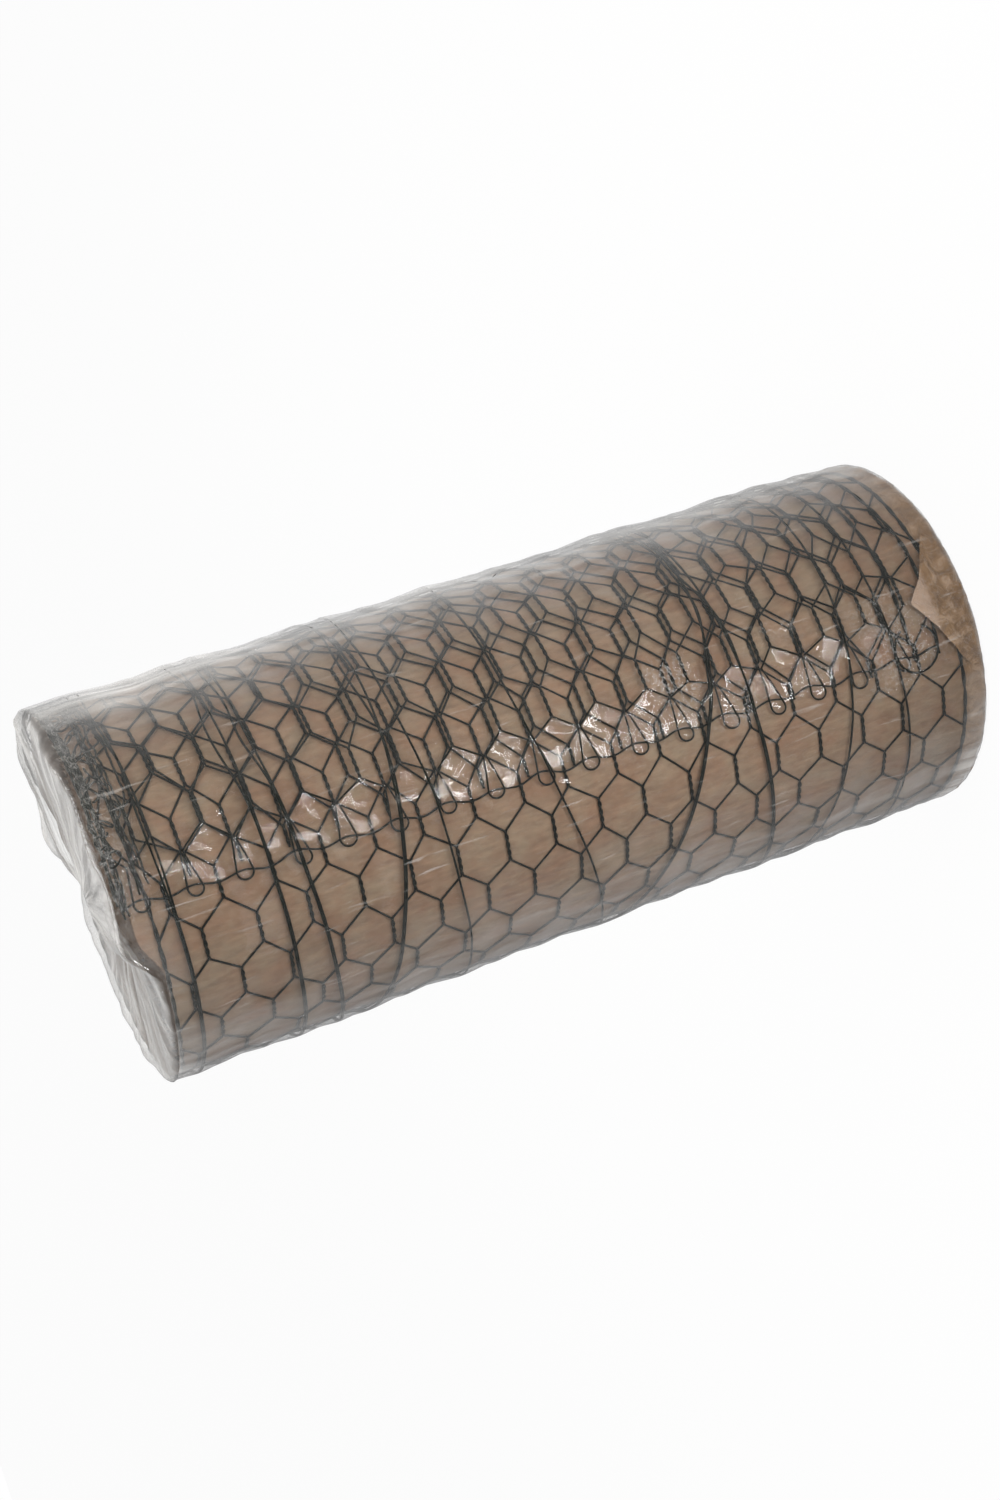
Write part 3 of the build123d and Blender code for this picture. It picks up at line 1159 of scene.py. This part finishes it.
# %% Floor paint
floor_paint, tree, shader, place = fresh("floor_paint")
shader.inputs["Base Color"].default_value = (0.86, 0.86, 0.86, 1)
shader.inputs["Roughness"].default_value = 0.9
shader.inputs["Specular IOR Level"].default_value = 0.1
rays = node(tree, "LightPath")
glow = node(tree, "Emission", Color=(1, 1, 1, 1), Strength=1.0)
mostly_glow = maths(tree, "MULTIPLY", rays.outputs["Is Camera Ray"], 0.95)
lit = layered(tree, mostly_glow, shader.outputs["BSDF"], glow.outputs["Emission"])
along_x = node(tree, "SeparateXYZ", Vector=place).outputs["X"]
dim = stretched(tree, along_x, From_Min=-0.15, From_Max=0.35, To_Min=0.28, To_Max=0.85)
card = node(tree, "Emission", Color=(0.97, 0.97, 0.98, 1), Strength=dim)
seen = layered(tree, rays.outputs["Is Glossy Ray"], lit, card.outputs["Emission"])
tree.links.new(seen, tree.nodes["Material Output"].inputs["Surface"])
print("floor paint has", len(tree.nodes), "nodes")

# %% Floor
FLOOR_HALF = 60.0
bm = bmesh.new()
bmesh.ops.create_grid(bm, x_segments=1, y_segments=1, size=FLOOR_HALF)
floor_mesh = bpy.data.meshes.new("floor")
bm.to_mesh(floor_mesh)
bm.free()
floor_mesh.materials.append(floor_paint)
floor = bpy.data.objects.new("floor", floor_mesh)
bpy.context.scene.collection.objects.link(floor)
print("floor is", 2 * FLOOR_HALF, "m wide")

# %% [markdown]
# The room itself gives an even, soft light. The camera sees it white, and the roll is lit by less than that.

# %% Room light
world = bpy.data.worlds.new("studio")
bpy.context.scene.world = world
world.use_nodes = True
tree = world.node_tree
room = tree.nodes["Background"]
room.inputs["Color"].default_value = (1, 1, 1, 1)
room.inputs["Strength"].default_value = 0.42
backdrop = node(tree, "Background", Color=(1, 1, 1, 1), Strength=1.0)
camera_ray = node(tree, "LightPath").outputs["Is Camera Ray"]
both = layered(tree, camera_ray, room.outputs["Background"], backdrop.outputs["Background"])
tree.links.new(both, tree.nodes["World Output"].inputs["Surface"])
print("room light ready")

# %% [markdown]
# Five softboxes shape the roll. A long low one lies on the floor in front and gives the film its glints along the
# hairpins. A warm one stands at the side that is up in the picture, and a cool one fills the other side.


# %% Softboxes
def softbox(name, position, target, width, depth, power, colour=(1, 1, 1)):
    """A soft rectangular lamp that points at a target."""
    lamp = bpy.data.lights.new(name, "AREA")
    lamp.color = colour
    lamp.shape = "RECTANGLE"
    lamp.size, lamp.size_y, lamp.energy = width, depth, power
    holder = bpy.data.objects.new(name, lamp)
    holder.visible_camera = False
    holder.location = position
    aim = Vector(target) - Vector(position)
    holder.rotation_euler = aim.to_track_quat("-Z", "Y").to_euler()
    bpy.context.scene.collection.objects.link(holder)
    print(name, "at", position)


softbox("low_softbox", (-0.06, -0.87, 0.003), (-0.06, -0.87, 1.0), 0.03, 1.16, 4.6)
softbox("strip_softbox", (-0.06, -1.20, 0.20), (0, 0, 0.42), 0.05, 0.34, 2.4)
softbox("side_softbox", (0.9, -0.9, 0.9), (0, 0, 0.24), 1.0, 1.0, 9.0, (1.0, 0.95, 0.87))
softbox("fill_softbox", (-0.9, -1.0, 0.7), (0, 0, 0.24), 1.0, 1.0, 3.0, (0.90, 0.95, 1.0))
softbox("top_softbox", (0.0, 0.2, 1.6), (0, 0, 0.4), 0.9, 0.9, 10.0)

# %% [markdown]
# The picture is taken with the camera turned on its side, so that the roll seems to lie down, with its upper end to
# the left.

# %% Camera
STANDPOINT = (0.0, -1.0881, 0.6154)
LOOK = Vector((0.0053, 0.9465, -0.3226))
ON_ITS_SIDE = -108.5
lens = bpy.data.cameras.new("photo_camera")
lens.sensor_fit = "VERTICAL"
lens.sensor_height = 36.0
lens.lens = 51.03
camera = bpy.data.objects.new("photo_camera", lens)
upright = LOOK.to_track_quat("-Z", "Y").to_matrix().to_4x4()
turned = upright @ Matrix.Rotation(math.radians(ON_ITS_SIDE), 4, "Z")
camera.matrix_world = Matrix.Translation(STANDPOINT) @ turned
bpy.context.scene.collection.objects.link(camera)
bpy.context.scene.camera = camera
bpy.context.scene.view_settings.view_transform = "Standard"
print("camera at", camera.location)
